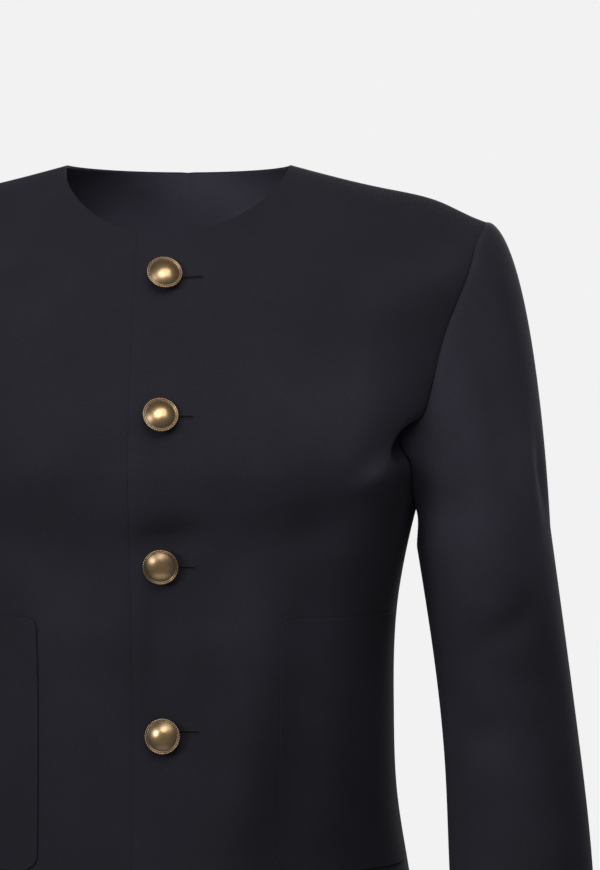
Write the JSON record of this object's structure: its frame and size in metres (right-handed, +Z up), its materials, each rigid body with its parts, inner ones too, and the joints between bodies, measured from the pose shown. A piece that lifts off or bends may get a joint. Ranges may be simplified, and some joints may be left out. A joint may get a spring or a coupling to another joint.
{
  "type": "collarless button front jacket",
  "caption": "Cropped collarless jacket in dark navy cloth, with a round neck, domed metal buttons, set-in sleeves and patch pockets.",
  "frame": {"origin": "middle of the line between the two points where the shoulder seams meet the neckline, at the top of the jacket where it hangs from the wearer's shoulders", "axes": "+Z up, -Y towards the wearer's front, +X towards the wearer's left"},
  "size_m": [0.5348, 0.234, 0.6334],
  "materials": {
    "cloth": "matte fine wool",
    "buttons": "antique satin"
  },
  "bodies": {
    "root": {"front_left": "cloth", "front_right": "cloth", "back_left": "cloth", "back_right": "cloth", "sleeve_left": "cloth", "sleeve_right": "cloth", "pocket_left": "cloth", "pocket_right": "cloth", "button_1": "buttons", "button_2": "buttons", "button_3": "buttons", "button_4": "buttons", "button_5": "buttons"}
  },
  "joints": []
}
